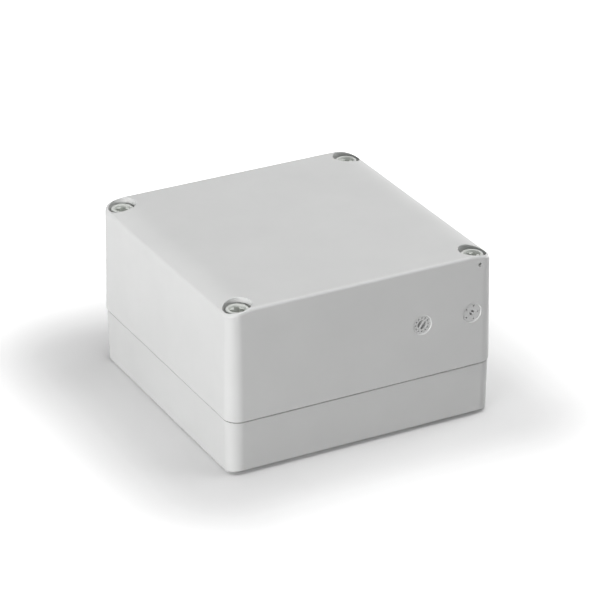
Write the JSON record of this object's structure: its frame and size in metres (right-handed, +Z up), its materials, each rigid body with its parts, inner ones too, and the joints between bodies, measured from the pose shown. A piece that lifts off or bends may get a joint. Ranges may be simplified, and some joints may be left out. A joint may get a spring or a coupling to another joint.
{
  "type": "plastic project box",
  "caption": "Square two-part plastic enclosure with a shallow base, a deep lid rounded down at two sides, a seal and captive screws in sunk corner pockets.",
  "frame": {"origin": "under the middle of the base, on the face it stands on", "axes": "+Z up from the base to the lid, +X along the flat sides of the lid's top towards one rounded side, -Y the side with the wire hole near its right corner"},
  "size_m": [0.125, 0.125, 0.075],
  "materials": {
    "box_plastic": "fine matt moulded texture",
    "screw_plastic": "smooth satin moulded",
    "seal_rubber": "matt foamed rubber"
  },
  "bodies": {
    "base": {"base": "box_plastic"},
    "lid": {"lid": "box_plastic", "gasket": "seal_rubber"},
    "screw_front_left": {"screw_front_left": "screw_plastic"},
    "screw_front_right": {"screw_front_right": "screw_plastic"},
    "screw_back_left": {"screw_back_left": "screw_plastic"},
    "screw_back_right": {"screw_back_right": "screw_plastic"}
  },
  "joints": [
    {"name": "lid_lift", "type": "slide", "parent": "base", "child": "lid", "axis": [0, 0, 1], "range_m": [0, 0.08]},
    {"name": "screw_front_left_turn", "type": "hinge", "parent": "lid", "child": "screw_front_left", "pos_m": [-0.05475, -0.05475, 0.06], "axis": [0, 0, 1], "continuous": true},
    {"name": "screw_front_right_turn", "type": "hinge", "parent": "lid", "child": "screw_front_right", "pos_m": [0.05475, -0.05475, 0.06], "axis": [0, 0, 1], "continuous": true},
    {"name": "screw_back_left_turn", "type": "hinge", "parent": "lid", "child": "screw_back_left", "pos_m": [-0.05475, 0.05475, 0.06], "axis": [0, 0, 1], "continuous": true},
    {"name": "screw_back_right_turn", "type": "hinge", "parent": "lid", "child": "screw_back_right", "pos_m": [0.05475, 0.05475, 0.06], "axis": [0, 0, 1], "continuous": true}
  ]
}
